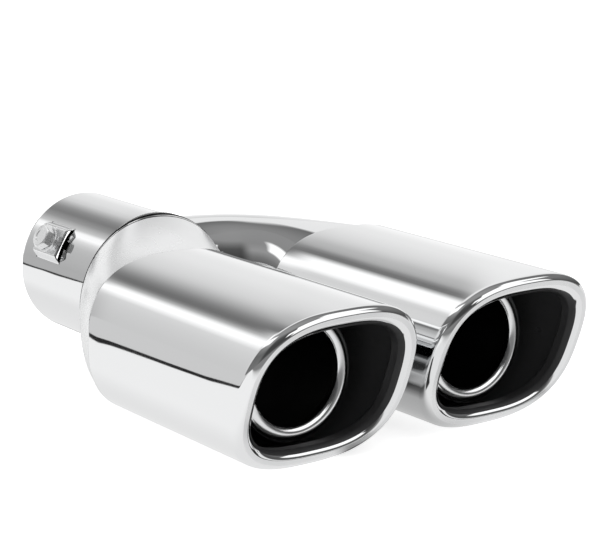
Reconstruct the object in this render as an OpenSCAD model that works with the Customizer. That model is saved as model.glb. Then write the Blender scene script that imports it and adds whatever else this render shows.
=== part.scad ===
/* [Sheet] */
// Thickness of the stainless sheet
sheet = 1.2; // [0.8:0.1:1.6]
// Gap between parts that slide into each other
fit = 0.1; // [0.05:0.05:0.2]

/* [Inlet sleeve] */
// Outside diameter of the inlet sleeve
sleeve_od = 63; // [58:1:68]
// Length of the sleeve, from its mouth to the left cap
sleeve_len = 60.5; // [58:0.5:90]

/* [Clamp] */
// Distance from the sleeve's mouth to the clamp bolt
clamp_back = 22; // [18:0.5:30]
// Angle of the clamp bolt above the horizontal
clamp_angle = 30; // [20:1:45]
// Width of the pressed strap, along the sleeve
strap_w = 19; // [14:1:22]
// Length of the strap, around the sleeve
strap_len = 17.6; // [16:0.2:24]
// Height of the strap's flat pad above the sleeve
strap_rise = 2.6; // [2.4:0.1:4]
// Width of the slit on each side of the strap
slit_w = 1.8; // [1:0.1:3]
// Width of the notch in the front slit, where the nut's edge can be seen
notch_w = 4; // [3:0.5:6]
// Length of that notch beyond the slit
notch_len = 3; // [1.5:0.5:4]
// Thread diameter of the clamp bolt
bolt_d = 6; // [5:0.5:6.5]
// Width of the bolt head across its flats
head_af = 10; // [8:0.5:11]
// Height of the bolt head
head_h = 4; // [3:0.1:5]
// Outside diameter of the washer
washer_od = 12; // [11.5:0.5:13]
// Thickness of the washer
washer_t = 1.2; // [0.8:0.1:1.6]
// Width of the square nut under the strap
nut_w = 10; // [8:0.5:10.5]
// Thickness of the square nut
nut_t = 2.4; // [1.6:0.1:2.4]

/* [Outlets] */
// Width of an outlet casing across its middle
outlet_w = 82.5; // [76:0.5:88]
// Height of an outlet casing
outlet_h = 67.6; // [65:0.2:74]
// Squareness of the casing's outline, where 2 is an ellipse
squareness = 2.66; // [2.2:0.02:3.2]
// Gap between the two casings
outlet_gap = 8.8; // [4:0.1:12]
// Distance of the left outlet's centre from the sleeve's axis, to the left
outlet_shift = 12; // [8:0.5:16]
// Distance of the outlets' centres below the sleeve's axis
outlet_drop = 10.7; // [8:0.1:13]
// Length of a casing at its centre
casing_len = 108.7; // [95:0.1:140]
// Angle of the slanted front faces
slash_angle = 20; // [0:0.5:24]

/* [Rim] */
// Radius of the rim's outer round
rim_round = 2.8; // [2.4:0.1:3.6]
// Width of the flat that is ground on the rim
rim_flat = 2; // [1.6:0.1:2.6]
// Radius of the bead that rolls inward from the flat
rim_bead = 4.4; // [4:0.1:5]
// Angle at which the flat meets that bead
rim_edge = 36; // [30:1:42]
// Depth of the turned-in edge behind the rim
rim_return = 8; // [6:0.5:8.5]

/* [Rear caps] */
// Length of the left cap, from its rear rim to the casing
cap_len = 33.8; // [28:0.1:42]
// How far the left cap's rear rim stands out from the sleeve
ridge_step = 6.2; // [6:0.1:8]
// Distance of the rear rim's centre below the sleeve's axis
ridge_drop = 5.6; // [4:0.1:5.6]
// Radius of the rear rim's edge
ridge_round = 1.2; // [0.8:0.1:1.2]
// Length of a cap's collar inside its casing
collar_len = 7; // [4:0.5:9]
// How late the left cap narrows, where 1 is a straight taper
cap_ease = 1.5; // [1:0.1:2.2]
// How early the right cap becomes round, where 1 is a straight taper
branch_ease = 2.6; // [1.6:0.05:3]

/* [Branch pipe] */
// Outside diameter of the branch pipe
branch_od = 46; // [41:0.5:48]
// Radius of the branch pipe's bend
bend_r = 46.6; // [43:0.1:51]
// Distance of the bend's middle inside the left casing's right side
bend_inset = 11.35; // [8:0.05:15]
// Height of the branch pipe's centre above the sleeve's axis
branch_rise = 2.5; // [0:0.1:5]
// Turn of the right cap
cap_turn = 46; // [36:1:56]

/* [Inner tubes] */
// Outside diameter of an inner tube
tube_od = 50.2; // [42:0.2:52]
// Radius of the rolled lip of an inner tube
tube_lip = 2.15; // [1.7:0.05:2.6]
// Distance of the inner tube's lip behind the rim at the outlet's centre
tube_setback = 21; // [16:0.5:30]
// Distance from a casing's rear edge to its baffle
baffle_in = 14; // [11:0.5:30]
// Length of the baffle's flange
baffle_flange = 7; // [4:0.5:10]
// Length of inner tube behind the baffle
tube_tail = 5; // [2:0.5:8]

/* [Welds] */
// Width of the weld bead round the sleeve
bead = 0.9; // [0.4:0.1:0.9]

/* [Hidden] */

outline_points = 72;
half_w = outlet_w / 2;
half_h = outlet_h / 2;
slash = tan(slash_angle);

sleeve_r = sleeve_od / 2;
bore_r = sleeve_r - sheet;
ridge_r = sleeve_r + ridge_step;

rear_y = -sleeve_len - cap_len;
face_y = rear_y - casing_len;
left_x = -outlet_shift;
right_x = left_x + outlet_w + outlet_gap;

bead_in = rim_round + rim_flat - rim_bead * sin(rim_edge);
bead_back = rim_bead * cos(rim_edge);
bead_skin = rim_bead - sheet;
skin_edge = acos((bead_back - sheet) / bead_skin);
lip_w = bead_in + rim_bead;

branch_r = branch_od / 2;
bend_x = left_x + half_w - bend_inset;
bend_offset = right_x - bend_x;
branch_end = 98;

tube_r = tube_od / 2;
baffle_y = rear_y - baffle_in;

pad_r = sleeve_r + strap_rise;
strap_span = strap_len / sleeve_r * 180 / PI;
pad_half = asin((nut_w / 2 + 0.6) / (pad_r - sheet));
head_corner = head_af / 2 / cos(30);

steel = [0.78, 0.79, 0.8];
dark_steel = [0.16, 0.16, 0.17];
zinc = [0.7, 0.71, 0.72];

// Value between two others
function mix(a, b, t) = a + (b - a) * t;

// Power that keeps the sign of its base
function signed_pow(v, p) = sign(v) * pow(abs(v), p);

// Closed outline of an outlet: half width, half height, squareness, and the distance
// that it is moved outward along its normals
function outline(w, h, p, off) = [
    for (i = [0 : outline_points - 1])
        let (
            a = 360 * (i + 0.5) / outline_points,
            z = h * signed_pow(sin(a), 2 / p),
            x = w * signed_pow(cos(a), 2 / p),
            nx = signed_pow(cos(a), 2 - 2 / p) / w,
            nz = signed_pow(sin(a), 2 - 2 / p) / h,
            len = norm([nx, nz])
        )
        [x + off * nx / len, z + off * nz / len]
];

// Outline of a casing, moved outward by a distance
function casing_outline(off) = outline(half_w, half_h, squareness, off);

// Ring of a casing that lies behind its slanted face
function face_ring(x, off, back) = [
    for (p = casing_outline(off)) [x + p[0], face_y - slash * p[1] + back, p[1] - outlet_drop]
];

// Ring of a casing in an upright plane
function flat_ring(x, y, off) = [
    for (p = casing_outline(off)) [x + p[0], y, p[1] - outlet_drop]
];

// Distance inward and distance behind the face, along the rim's outer skin
rim_outer = concat(
    [for (a = [0 : 22.5 : 90]) [-rim_round * (1 - cos(a)), rim_round * (1 - sin(a))]],
    [for (i = [0 : 5])
        let (a = mix(rim_edge, 90, i / 5))
        [-bead_in - rim_bead * sin(a), bead_back - rim_bead * cos(a)]],
    [[-lip_w, rim_return]]
);
// The same along the inner skin, one sheet thickness away
rim_inner_skin = concat(
    [[-lip_w + sheet, rim_return]],
    [for (i = [0 : 3])
        let (a = mix(90, skin_edge, i / 3))
        [-bead_in - bead_skin * sin(a), bead_back - bead_skin * cos(a)]],
    [for (a = [90 : -30 : 0]) [
        -rim_round + (rim_round - sheet) * cos(a),
        rim_round - (rim_round - sheet) * sin(a)
    ]]
);

// Solid whose rings run along its outer skin and back along its inner skin
module ring_shell(rings) {
    n = len(rings[0]);
    m = len(rings);
    polyhedron(
        points = [for (r = rings) each r],
        faces = [
            for (i = [0 : m - 1], j = [0 : n - 1])
                let (
                    a = i * n + j,
                    b = i * n + (j + 1) % n,
                    c = (i + 1) % m * n + (j + 1) % n,
                    d = (i + 1) % m * n + j
                )
                each [[a, b, c], [a, c, d]]
        ]
    );
}

// Solid that fills a stack of rings
module ring_solid(rings) {
    n = len(rings[0]);
    m = len(rings);
    polyhedron(
        points = [for (r = rings) each r],
        faces = concat(
            [
                for (i = [0 : m - 2], j = [0 : n - 1])
                    let (
                        a = i * n + j,
                        b = i * n + (j + 1) % n,
                        c = (i + 1) * n + (j + 1) % n,
                        d = (i + 1) * n + j
                    )
                    each [[a, b, c], [a, c, d]]
            ],
            [[for (j = [n - 1 : -1 : 0]) j]],
            [[for (j = [0 : n - 1]) (m - 1) * n + j]]
        )
    );
}

// Places children along the sleeve: their Z runs from the mouth to the outlets
module along_sleeve() {
    rotate([90, 0, 0]) children();
}

// Places children at the clamp: their Z points straight out of the sleeve's axis
module at_clamp() {
    along_sleeve()
        translate([0, 0, clamp_back])
            rotate([0, 0, 180 - clamp_angle])
                rotate([0, 90, 0])
                    children();
}

// Radius of the strap's skin, at an angle from its middle
function strap_skin(a, pad, foot) =
    let (
        t = max(0, min(1, (abs(a) - pad_half) / (strap_span / 2 - pad_half))),
        s = t * t * (3 - 2 * t)
    )
    mix(pad / cos(a), foot, s);

// Strap pressed out of the sleeve's wall, with its two feet sunk in the wall
module strap() {
    steps = 16;
    foot = 1.5;
    skin = [for (i = [0 : steps]) strap_span * (i / steps - 0.5)];
    angles = concat([skin[0] - foot], skin, [skin[steps] + foot]);
    inset = sheet * 0.15;
    outer = [for (a = angles) strap_skin(a, pad_r, sleeve_r - inset) * [cos(a), sin(a)]];
    inner = [for (a = angles) strap_skin(a, pad_r - sheet, bore_r + inset) * [cos(a), sin(a)]];
    last = len(angles) - 1;
    translate([0, 0, clamp_back - strap_w / 2])
        rotate([0, 0, 180 - clamp_angle])
            linear_extrude(strap_w)
                polygon(concat(outer, [for (i = [last : -1 : 0]) inner[i]]));
}

// Opening in the sleeve's wall for the strap and its slits
module strap_window() {
    depth = 2 * sheet;
    translate([0, 0, clamp_back - strap_w / 2 - slit_w])
        rotate([0, 0, 180 - clamp_angle - strap_span / 2])
            rotate_extrude(angle = strap_span, $fn = 120)
                translate([bore_r - depth / 2, 0])
                    square([sheet + depth, strap_w + 2 * slit_w]);
}

// Bend of the branch pipe as a solid bar of a given radius, between two angles
module bend_bar(r, from, to) {
    translate([bend_x, rear_y, branch_rise])
        rotate([0, 0, from])
            rotate_extrude(angle = to - from, $fn = 120)
                translate([bend_r, 0])
                    circle(r = r, $fn = 72);
}

module inlet_sleeve() {
    color(steel)
        difference() {
            along_sleeve()
                difference() {
                    union() {
                        difference() {
                            cylinder(h = sleeve_len, r = sleeve_r, $fn = 120);
                            strap_window();
                        }
                        strap();
                    }
                    translate([0, 0, -1])
                        cylinder(h = sleeve_len + 2, r = bore_r, $fn = 120);
                }
            at_clamp()
                translate([0, 0, bore_r])
                    cylinder(h = strap_rise + 2 * sheet, r = bolt_d / 2 + 0.2, $fn = 32);
            at_clamp()
                translate([-strap_w / 2 - slit_w - notch_len, -notch_w / 2, bore_r - sheet])
                    cube([notch_len + slit_w / 2, notch_w, 3 * sheet]);
            bend_bar(branch_r - sheet, cap_turn, branch_end);
        }
}

module clamp_bolt() {
    seat = pad_r + washer_t;
    color(zinc)
        at_clamp() {
            translate([0, 0, pad_r - sheet - nut_t])
                cylinder(h = seat - pad_r + sheet + nut_t, d = bolt_d, $fn = 32);
            intersection() {
                translate([0, 0, seat])
                    cylinder(h = head_h, r = head_corner, $fn = 6);
                translate([0, 0, seat])
                    cylinder(h = head_h, r1 = head_corner + head_h, r2 = head_corner * 0.93, $fn = 48);
            }
        }
}

module clamp_washer() {
    color(zinc)
        at_clamp()
            translate([0, 0, pad_r])
                difference() {
                    cylinder(h = washer_t, d = washer_od, $fn = 48);
                    translate([0, 0, -1])
                        cylinder(h = washer_t + 2, r = bolt_d / 2 + 0.2, $fn = 32);
                }
}

module clamp_nut() {
    color(zinc)
        at_clamp()
            translate([0, 0, pad_r - sheet - nut_t])
                difference() {
                    translate([-nut_w / 2, -nut_w / 2, 0])
                        cube([nut_w, nut_w, nut_t]);
                    translate([0, 0, -1])
                        cylinder(h = nut_t + 2, r = bolt_d / 2 + 0.05, $fn = 32);
                }
}

// Ring of the left cap: 0 is at the casing and 1 at the rear rim
function left_cap_ring(u, inward) =
    let (
        e = pow(u, cap_ease),
        off = mix(-sheet - fit, 0, e) - inward,
        y = mix(rear_y, -sleeve_len - ridge_round, u),
        x = mix(left_x, 0, e),
        z = mix(-outlet_drop, -ridge_drop, e),
        w = mix(half_w, ridge_r, e),
        h = mix(half_h, ridge_r, e),
        p = mix(squareness, 2, e)
    )
    [for (q = outline(w, h, p, off)) [x + q[0], y, z + q[1]]];

// Round ring in an upright plane
function round_ring(r, y, z) = [
    for (q = outline(r, r, 2, 0)) [q[0], y, z + q[1]]
];

cap_steps = 8;
left_cap_outer = concat(
    [flat_ring(left_x, rear_y - collar_len, -sheet - fit)],
    [for (i = [0 : cap_steps]) left_cap_ring(i / cap_steps, 0)],
    [for (a = [30 : 30 : 90]) round_ring(
        ridge_r - ridge_round * (1 - cos(a)),
        -sleeve_len - ridge_round * (1 - sin(a)),
        -ridge_drop
    )],
    [round_ring(bore_r, -sleeve_len, 0)]
);
left_cap_inner = concat(
    [round_ring(bore_r, -sleeve_len - sheet, 0)],
    [round_ring(ridge_r - sheet, -sleeve_len - sheet, -ridge_drop)],
    [for (i = [cap_steps - 1 : -1 : 0]) left_cap_ring(i / cap_steps, sheet)],
    [flat_ring(left_x, rear_y - collar_len, -2 * sheet - fit)]
);

module left_cap() {
    color(steel)
        difference() {
            ring_shell(concat(left_cap_outer, left_cap_inner));
            bend_bar(branch_r - sheet, cap_turn, branch_end);
        }
}

module branch_pipe() {
    color(steel)
        difference() {
            bend_bar(branch_r, cap_turn, branch_end);
            bend_bar(branch_r - sheet, cap_turn - 1, branch_end + 1);
            along_sleeve()
                cylinder(h = sleeve_len, r = sleeve_r, $fn = 120);
            ring_solid([for (i = [0 : len(left_cap_outer) - 3]) left_cap_outer[i]]);
        }
}

// Ring of the right cap: 0 is at the casing and 1 at the branch pipe
function right_cap_ring(u, inward) =
    let (
        e = 1 - pow(1 - u, branch_ease),
        off = mix(-sheet - fit, 0, e) - inward,
        a = cap_turn * u,
        r = mix(bend_offset, bend_r, e),
        z = mix(-outlet_drop, branch_rise, e),
        w = mix(half_w, branch_r, e),
        h = mix(half_h, branch_r, e),
        p = mix(squareness, 2, e)
    )
    [for (q = outline(w, h, p, off)) [
        bend_x + (r + q[0]) * cos(a),
        rear_y + (r + q[0]) * sin(a),
        z + q[1]
    ]];

module right_cap() {
    color(steel)
        ring_shell(concat(
            [flat_ring(right_x, rear_y - collar_len, -sheet - fit)],
            [for (i = [0 : cap_steps]) right_cap_ring(i / cap_steps, 0)],
            [for (i = [cap_steps : -1 : 0]) right_cap_ring(i / cap_steps, sheet)],
            [flat_ring(right_x, rear_y - collar_len, -2 * sheet - fit)]
        ));
}

// Casing with its rim rolled inward from the same sheet
module casing(x) {
    color(steel)
        ring_shell(concat(
            [for (i = [0 : len(rim_inner_skin) - 1])
                let (q = rim_inner_skin[len(rim_inner_skin) - 1 - i])
                face_ring(x, q[0], q[1])],
            [for (i = [0 : len(rim_outer) - 1])
                let (q = rim_outer[len(rim_outer) - 1 - i])
                face_ring(x, q[0], q[1])],
            [flat_ring(x, rear_y, 0)],
            [flat_ring(x, rear_y, -sheet)]
        ));
}

module left_casing() {
    casing(left_x);
}

module right_casing() {
    casing(right_x);
}

// Plate that closes the casing round the inner tube, with a flange along the casing's wall
module baffle(x) {
    edge = -sheet - fit;
    color(dark_steel)
        difference() {
            translate([x, baffle_y, -outlet_drop])
                rotate([90, 0, 0])
                    difference() {
                        linear_extrude(baffle_flange)
                            polygon(casing_outline(edge));
                        translate([0, 0, sheet])
                            linear_extrude(baffle_flange)
                                polygon(casing_outline(edge - sheet));
                    }
            translate([x, baffle_y + 1, -outlet_drop])
                rotate([90, 0, 0])
                    cylinder(h = sheet + 2, r = tube_r + fit, $fn = 96);
        }
}

module left_baffle() {
    baffle(left_x);
}

module right_baffle() {
    baffle(right_x);
}

// Tube with its front edge rolled inward into a round lip
module inner_tube(x) {
    front = face_y + tube_setback;
    length = baffle_y + tube_tail - front;
    lip_inner = max(0.3, tube_lip - sheet);
    color(steel)
        translate([x, front, -outlet_drop])
            rotate([-90, 0, 0])
                rotate_extrude($fn = 96) {
                    translate([tube_r - sheet, tube_lip])
                        square([sheet, length - tube_lip]);
                    translate([tube_r - tube_lip, tube_lip])
                        difference() {
                            circle(r = tube_lip, $fn = 48);
                            circle(r = lip_inner, $fn = 32);
                            translate([-2 * tube_lip, 0])
                                square([4 * tube_lip, 2 * tube_lip]);
                        }
                    translate([tube_r - 2 * tube_lip, tube_lip])
                        square([tube_lip - lip_inner, tube_lip]);
                }
}

module left_inner_tube() {
    inner_tube(left_x);
}

module right_inner_tube() {
    inner_tube(right_x);
}

// Fillet of weld between the sleeve and the left cap's rear wall
module sleeve_weld() {
    color(zinc)
        difference() {
            translate([0, -sleeve_len, 0])
                rotate([-90, 0, 0])
                    rotate_extrude($fn = 120)
                        translate([sleeve_r, 0])
                            polygon([[0, 0], [bead, 0], [bead * 0.72, bead * 0.72], [0, bead]]);
            bend_bar(branch_r, cap_turn, branch_end);
        }
}

inlet_sleeve();
clamp_bolt();
clamp_washer();
clamp_nut();
left_cap();
branch_pipe();
right_cap();
left_casing();
right_casing();
left_baffle();
right_baffle();
left_inner_tube();
right_inner_tube();
sleeve_weld();
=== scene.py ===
import bpy
import bmesh
import math
import numpy as np
from mathutils import Matrix, Vector


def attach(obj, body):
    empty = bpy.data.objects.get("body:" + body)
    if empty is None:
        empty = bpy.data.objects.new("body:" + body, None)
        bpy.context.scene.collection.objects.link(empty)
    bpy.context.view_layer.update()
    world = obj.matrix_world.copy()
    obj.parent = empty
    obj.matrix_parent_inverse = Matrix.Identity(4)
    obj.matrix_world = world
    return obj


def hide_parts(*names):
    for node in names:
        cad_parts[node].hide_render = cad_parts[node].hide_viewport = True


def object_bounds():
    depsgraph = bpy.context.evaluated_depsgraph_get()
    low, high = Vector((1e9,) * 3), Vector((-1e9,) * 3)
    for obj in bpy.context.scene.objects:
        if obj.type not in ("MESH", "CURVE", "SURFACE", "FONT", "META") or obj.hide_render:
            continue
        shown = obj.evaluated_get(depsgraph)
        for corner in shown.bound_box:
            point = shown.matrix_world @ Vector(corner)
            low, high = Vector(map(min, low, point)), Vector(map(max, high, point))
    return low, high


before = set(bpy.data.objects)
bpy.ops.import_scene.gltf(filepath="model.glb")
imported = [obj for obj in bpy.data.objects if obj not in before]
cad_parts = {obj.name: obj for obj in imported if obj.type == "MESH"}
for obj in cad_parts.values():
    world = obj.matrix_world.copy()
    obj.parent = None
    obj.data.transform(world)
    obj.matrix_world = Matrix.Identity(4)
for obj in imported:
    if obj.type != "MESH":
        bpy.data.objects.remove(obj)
cad_lo, cad_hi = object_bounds()

MM = 0.001  # metres

# Sizes in millimetres, as in the part's source
SHEET = 1.2
FIT = 0.1
# Inlet sleeve
SLEEVE_R = 31.5
SLEEVE_LEN = 60.5
BORE_R = SLEEVE_R - SHEET
# Clamp: the strap, its screw, washer and nut
CLAMP_BACK = 22.0
CLAMP_ANGLE = 30.0
STRAP_W = 19.0
STRAP_LEN = 17.6
STRAP_RISE = 2.6
PAD_R = SLEEVE_R + STRAP_RISE
NOTCH_W = 3.8
NOTCH_LEN = 2.3
BOLT_D = 6.0
HEAD_AF = 10.0
HEAD_H = 4.0
WASHER_OD = 12.0
WASHER_T = 1.2
NUT_W = 10.0
NUT_T = 2.4
# Outlets: rounded oblongs with slanted faces
HALF_W = 41.25
HALF_H = 33.8
SQUARE = 2.66
OUTLET_GAP = 8.8
LEFT_X = -12.0
RIGHT_X = LEFT_X + 2 * HALF_W + OUTLET_GAP
DROP = 10.7
CASING_LEN = 108.7
CAP_LEN = 33.8
REAR_Y = -SLEEVE_LEN - CAP_LEN
FACE_Y = REAR_Y - CASING_LEN
SLASH = math.tan(math.radians(20))
# Left cap and its ridge round the sleeve
RIDGE_STEP = 6.2
RIDGE_R = SLEEVE_R + RIDGE_STEP
RIDGE_DROP = 5.6
RIDGE_ROUND = 1.2
RIDGE_Y = -SLEEVE_LEN - RIDGE_ROUND
COLLAR = 7.0
CAP_EASE = 1.5
# Branch pipe and right cap
BRANCH_EASE = 2.6
BRANCH_R = 23.0
BRANCH_RISE = 2.5
BEND_R = 46.6
BEND_OFFSET = 61.4
BEND_X = RIGHT_X - BEND_OFFSET
CAP_TURN = 46.0
# Inner tubes, baffles and weld
TUBE_R = 25.1
TUBE_LIP = 2.15
SETBACK = 21.0
BAFFLE_SET = 14.0
BAFFLE_Y = REAR_Y - BAFFLE_SET
BAFFLE_BEND = 2.4
FLANGE = 7.0
TAIL = 5.0
BEAD = 0.9

# Sizes of what the scene draws finer than the source
SLIT_W = 0.7
INSET = 0.03  # skins lie this far inside the solids' outside
AROUND = 288  # points round a large ring
HOLD = 0.8  # narrow strip beside a round, which keeps the flat's shading flat
SUNK = 0.02  # how far an end goes into another skin, and what a slit's ends are short of half round
# Rolled rim: an outer and an inner round, both cut by the ground flat, and the edge turned back behind them
OUTER_R = 5.2
OUTER_EDGE = math.radians(30)
BEAD_R = 7.7
BEAD_EDGE = math.radians(26.5)
BEAD_BRIGHT = math.radians(45)  # the bead's polished steel ends here, and behind it the edge carries painted shade
BEAD_END = math.radians(64)
RIM_ROUND = OUTER_R * (1 - math.sin(OUTER_EDGE))
RIM_FLAT = 2.2
RIM_RETURN = 8.0
TURN_R = 0.9
OUTER_BACK = OUTER_R * math.cos(OUTER_EDGE)
BEAD_BACK = BEAD_R * math.cos(BEAD_EDGE)
BEAD_IN = RIM_ROUND + RIM_FLAT - BEAD_R * math.sin(BEAD_EDGE)
TURN_IN = BEAD_IN + (BEAD_R - TURN_R) * math.sin(BEAD_END)
TURN_BACK = BEAD_BACK - (BEAD_R - TURN_R) * math.cos(BEAD_END)
LIP_W = TURN_IN + TURN_R
FLAT_EDGE = 0.16  # soft edge that grinding leaves on each side of the flat
FLAT_BORDER = 0.1  # narrow strip at each side of the flat
REAR_ROUND = 0.22  # round on the casing's rear edge
# Elliptic lip of the inner tubes
LIP_R = 23.25
LIP_HALF = 3.05
LIP_DEEP = 1.8


# Shapes
def mix(a, b, t):
    return a + (b - a) * t


def outline(w, h, p, off):
    """Superellipse moved along its normals, with its points spread evenly."""
    samples = 4096
    t = (np.arange(samples) + 0.5) * 2 * np.pi / samples

    def at(t):
        s, c = np.sin(t), np.cos(t)
        z = h * np.sign(s) * np.abs(s) ** (2 / p)
        x = w * np.sign(c) * np.abs(c) ** (2 / p)
        nx = np.sign(c) * np.abs(c) ** (2 - 2 / p) / w
        nz = np.sign(s) * np.abs(s) ** (2 - 2 / p) / h
        length = np.hypot(nx, nz)
        return np.stack([x + off * nx / length, z + off * nz / length], 1)

    q = at(t)
    step = np.hypot(*(np.roll(q, -1, 0) - q).T)
    run = np.concatenate([[0], np.cumsum(step)])
    want = (np.arange(AROUND) + 0.5) / AROUND * run[-1]
    return at(np.interp(want, run, np.append(t, t[0] + 2 * np.pi)))


def flat_ring(x, y, off):
    """The casing's outline in an upright plane."""
    q = outline(HALF_W, HALF_H, SQUARE, off - INSET)
    return np.stack([x + q[:, 0], np.full(AROUND, y), q[:, 1] - DROP], 1)


def face_ring(x, off, back):
    """The casing's outline in a plane that slants like the outlet's face."""
    q = outline(HALF_W, HALF_H, SQUARE, off - INSET)
    return np.stack([x + q[:, 0], FACE_Y - SLASH * q[:, 1] + back + INSET, q[:, 1] - DROP], 1)


def round_ring(r, y, z):
    a = (np.arange(AROUND) + 0.5) * 2 * np.pi / AROUND
    return np.stack([r * np.cos(a), np.full(AROUND, y), z + r * np.sin(a)], 1)


def mesh_object(name, verts, faces, mats, face_mats=None, angle=38):
    me = bpy.data.meshes.new(name)
    me.from_pydata((np.asarray(verts) * MM).tolist(), [], faces)
    for m in mats:
        me.materials.append(m)
    if face_mats is not None:
        me.polygons.foreach_set("material_index", np.asarray(face_mats, np.int32))
    me.polygons.foreach_set("use_smooth", [True] * len(me.polygons))
    me.update()
    bm = bmesh.new()
    bm.from_mesh(me)
    bmesh.ops.recalc_face_normals(bm, faces=bm.faces)
    bm.to_mesh(me)
    bm.free()
    me.set_sharp_from_angle(angle=math.radians(angle))
    ob = bpy.data.objects.new(name, me)
    bpy.context.scene.collection.objects.link(ob)
    return ob


def ring_mesh(name, rings, mats, ring_mats=None, closed=False, caps=False, angle=38):
    """Skin over a stack of rings. ring_mats gives the material of each strip between two rings."""
    n, m = len(rings[0]), len(rings)
    faces, index = [], []
    for i in range(m if closed else m - 1):
        k = (i + 1) % m
        for j in range(n):
            following = (j + 1) % n
            faces.append((i * n + j, i * n + following, k * n + following, k * n + j))
            index.append(ring_mats[i] if ring_mats else 0)
    if caps:
        faces += [tuple(range(n)), tuple(range((m - 1) * n, m * n))]
        index += [0, 0]
    return mesh_object(name, np.vstack(rings), faces, mats, index, angle)


def turned_rings(profile, n):
    """Rings of (radius, height) points turned round the Z axis."""
    a = np.arange(n) * 2 * np.pi / n
    return [np.stack([r * np.cos(a), r * np.sin(a), np.full(n, z)], 1) for r, z in profile]


def revolve(name, profile, mats, n, profile_mats=None):
    return ring_mesh(name, turned_rings(profile, n), mats, profile_mats, closed=True)


def cylinder(name, r, z0, z1, n=64, mats=()):
    return ring_mesh(name, turned_rings([(r, z0), (r, z1)], n), mats, caps=True)


def block(name, lo, hi):
    v = [(x, y, z) for x in (lo[0], hi[0]) for y in (lo[1], hi[1]) for z in (lo[2], hi[2])]
    f = [(0, 1, 3, 2), (4, 6, 7, 5), (0, 4, 5, 1), (2, 3, 7, 6), (0, 2, 6, 4), (1, 5, 7, 3)]
    return mesh_object(name, v, f, [])


def arc(cx, cy, r, a0, a1, steps):
    return [(cx + r * math.cos(a), cy + r * math.sin(a)) for a in np.radians(np.linspace(a0, a1, steps))]


def boolean(ob, cutter):
    """Cuts an object and applies the cut."""
    md = ob.modifiers.new("cut", "BOOLEAN")
    md.operation, md.object, md.solver = "DIFFERENCE", cutter, "EXACT"
    dg = bpy.context.evaluated_depsgraph_get()
    me = bpy.data.meshes.new_from_object(ob.evaluated_get(dg))
    ob.modifiers.clear()
    old = ob.data
    ob.data = me
    bpy.data.meshes.remove(old)
    bpy.data.objects.remove(cutter)


def spread(parts):
    """Items of all (material, items) parts in one list, and the material of each."""
    return [item for mat, items in parts for item in items], [mat for mat, items in parts for item in items]


def transform(ob, matrix):
    ob.data.transform(matrix)
    ob.data.update()


def join(objects):
    for o in bpy.context.selected_objects:
        o.select_set(False)
    for o in objects:
        o.select_set(True)
    bpy.context.view_layer.objects.active = objects[0]
    bpy.ops.object.join()


# Materials
def material(name):
    m = bpy.data.materials.new(name)
    m.use_nodes = True
    nt = m.node_tree
    return m, nt, nt.nodes["Principled BSDF"]


def add(nt, kind, **values):
    nd = nt.nodes.new(kind)
    for k, v in values.items():
        if k in nd.inputs:
            nd.inputs[k].default_value = v
        else:
            setattr(nd, k, v)
    return nd


def hairlines(nt, bsdf, place, strength):
    """Fine lines that the buffing wheel leaves along the part."""
    stretch = add(nt, "ShaderNodeMapping")
    stretch.inputs["Scale"].default_value = (900, 45, 900)
    hair = add(nt, "ShaderNodeTexNoise", Scale=1.0, Detail=2.0)
    bump = add(nt, "ShaderNodeBump", Strength=strength, Distance=0.00002)
    nt.links.new(place, stretch.inputs["Vector"])
    nt.links.new(stretch.outputs["Vector"], hair.inputs["Vector"])
    nt.links.new(hair.outputs["Fac"], bump.inputs["Height"])
    nt.links.new(bump.outputs["Normal"], bsdf.inputs["Normal"])


def polished(name, colour, rough, scratch=0.0, metal=1.0, specular=0.5):
    """Polished surface with a faint cloud in its roughness and tint."""
    m, nt, bsdf = material(name)
    bsdf.inputs["Metallic"].default_value = metal
    bsdf.inputs["Specular IOR Level"].default_value = specular
    place = add(nt, "ShaderNodeTexCoord").outputs["Object"]
    cloud = add(nt, "ShaderNodeTexNoise", Scale=34.0, Detail=3.0)
    nt.links.new(place, cloud.inputs["Vector"])
    uneven = add(nt, "ShaderNodeMapRange")
    uneven.inputs["From Min"].default_value = 0.3
    uneven.inputs["From Max"].default_value = 0.7
    uneven.inputs["To Min"].default_value = rough * 0.75
    uneven.inputs["To Max"].default_value = rough * 1.3
    nt.links.new(cloud.outputs["Fac"], uneven.inputs["Value"])
    nt.links.new(uneven.outputs["Result"], bsdf.inputs["Roughness"])
    tint = add(nt, "ShaderNodeValToRGB")
    tint.color_ramp.elements[0].color = tuple(c * 0.985 for c in colour) + (1,)
    tint.color_ramp.elements[1].color = tuple(colour) + (1,)
    nt.links.new(cloud.outputs["Fac"], tint.inputs["Fac"])
    nt.links.new(tint.outputs["Color"], bsdf.inputs["Base Color"])
    if scratch:
        hairlines(nt, bsdf, place, scratch)
    return m


BARE_STEEL = (0.86, 0.865, 0.87)
steel = polished("polished_steel", BARE_STEEL, 0.045)
satin = polished("satin_steel", (0.84, 0.845, 0.85), 0.3, 0.3)
# painted shade: a dark colour that stands in for the shade inside the casings, the left cap and the branch,
# on the inner tubes' outside and on the baffles, and for the shadow line on the casing's rear edge
dark = polished("dark_steel", (0.05, 0.05, 0.052), 0.34, metal=0.0)
# painted shade: near black standing in for the shade on the edge turned back into the mouth and on the bead
# behind BEAD_BRIGHT
turned = polished("turned_edge", (0.03, 0.03, 0.031), 0.4, metal=0.0, specular=0.3)
# painted shade: black that stands in for the shade in the left cap's seam grooves, inside the inner tubes
# and in the gaps under the strap
painted_shade_black = polished("painted_shade_black", (0.003, 0.003, 0.003), 0.6, metal=0.0, specular=0.04)
lip = polished("lip_steel", BARE_STEEL, 0.14)
pressed = polished("pressed_steel", BARE_STEEL, 0.2)
cap_steel = polished("cap_steel", (0.9, 0.905, 0.91), 0.26, metal=0.5, specular=0.6)
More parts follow.
